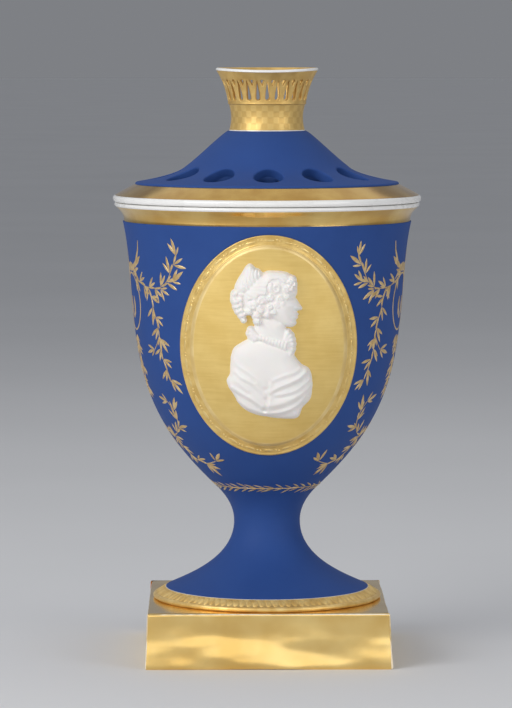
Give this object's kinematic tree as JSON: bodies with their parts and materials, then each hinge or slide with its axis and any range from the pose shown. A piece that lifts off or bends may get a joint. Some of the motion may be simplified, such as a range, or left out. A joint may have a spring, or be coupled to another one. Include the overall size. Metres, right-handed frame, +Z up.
{
  "type": "potpourri vase",
  "caption": "Covered ovoid urn on a trumpet foot and square plinth, with an oval portrait medallion, a pierced domed lid and an openwork basket finial.",
  "frame": {"origin": "centre of the plinth's underside, on the vase's axis", "axes": "+Z up along the vase's axis, -Y towards the medallion, +X to the medallion's right as seen"},
  "size_m": [0.1684, 0.1684, 0.32],
  "materials": {
    "gilt_porcelain": "burnished gilding over glazed porcelain, worn at the edges",
    "blue_porcelain": "matt blue ground with gilt and white bands",
    "white_biscuit": "unglazed white biscuit porcelain",
    "iron": "forged, dark",
    "leather": "plain brown"
  },
  "bodies": {
    "vase": {"plinth": "gilt_porcelain", "foot": "blue_porcelain", "bowl": "blue_porcelain", "medallion": "gilt_porcelain", "portrait_relief": "white_biscuit", "tie_bolt": "iron", "head_washer": "leather", "under_washer": "iron", "nut": "iron"},
    "cover": {"lid": "blue_porcelain", "basket_finial": "gilt_porcelain"}
  },
  "joints": [
    {"name": "lid_lift", "type": "slide", "parent": "vase", "child": "cover", "axis": [0, 0, 1], "range_m": [0, 0.12]}
  ]
}
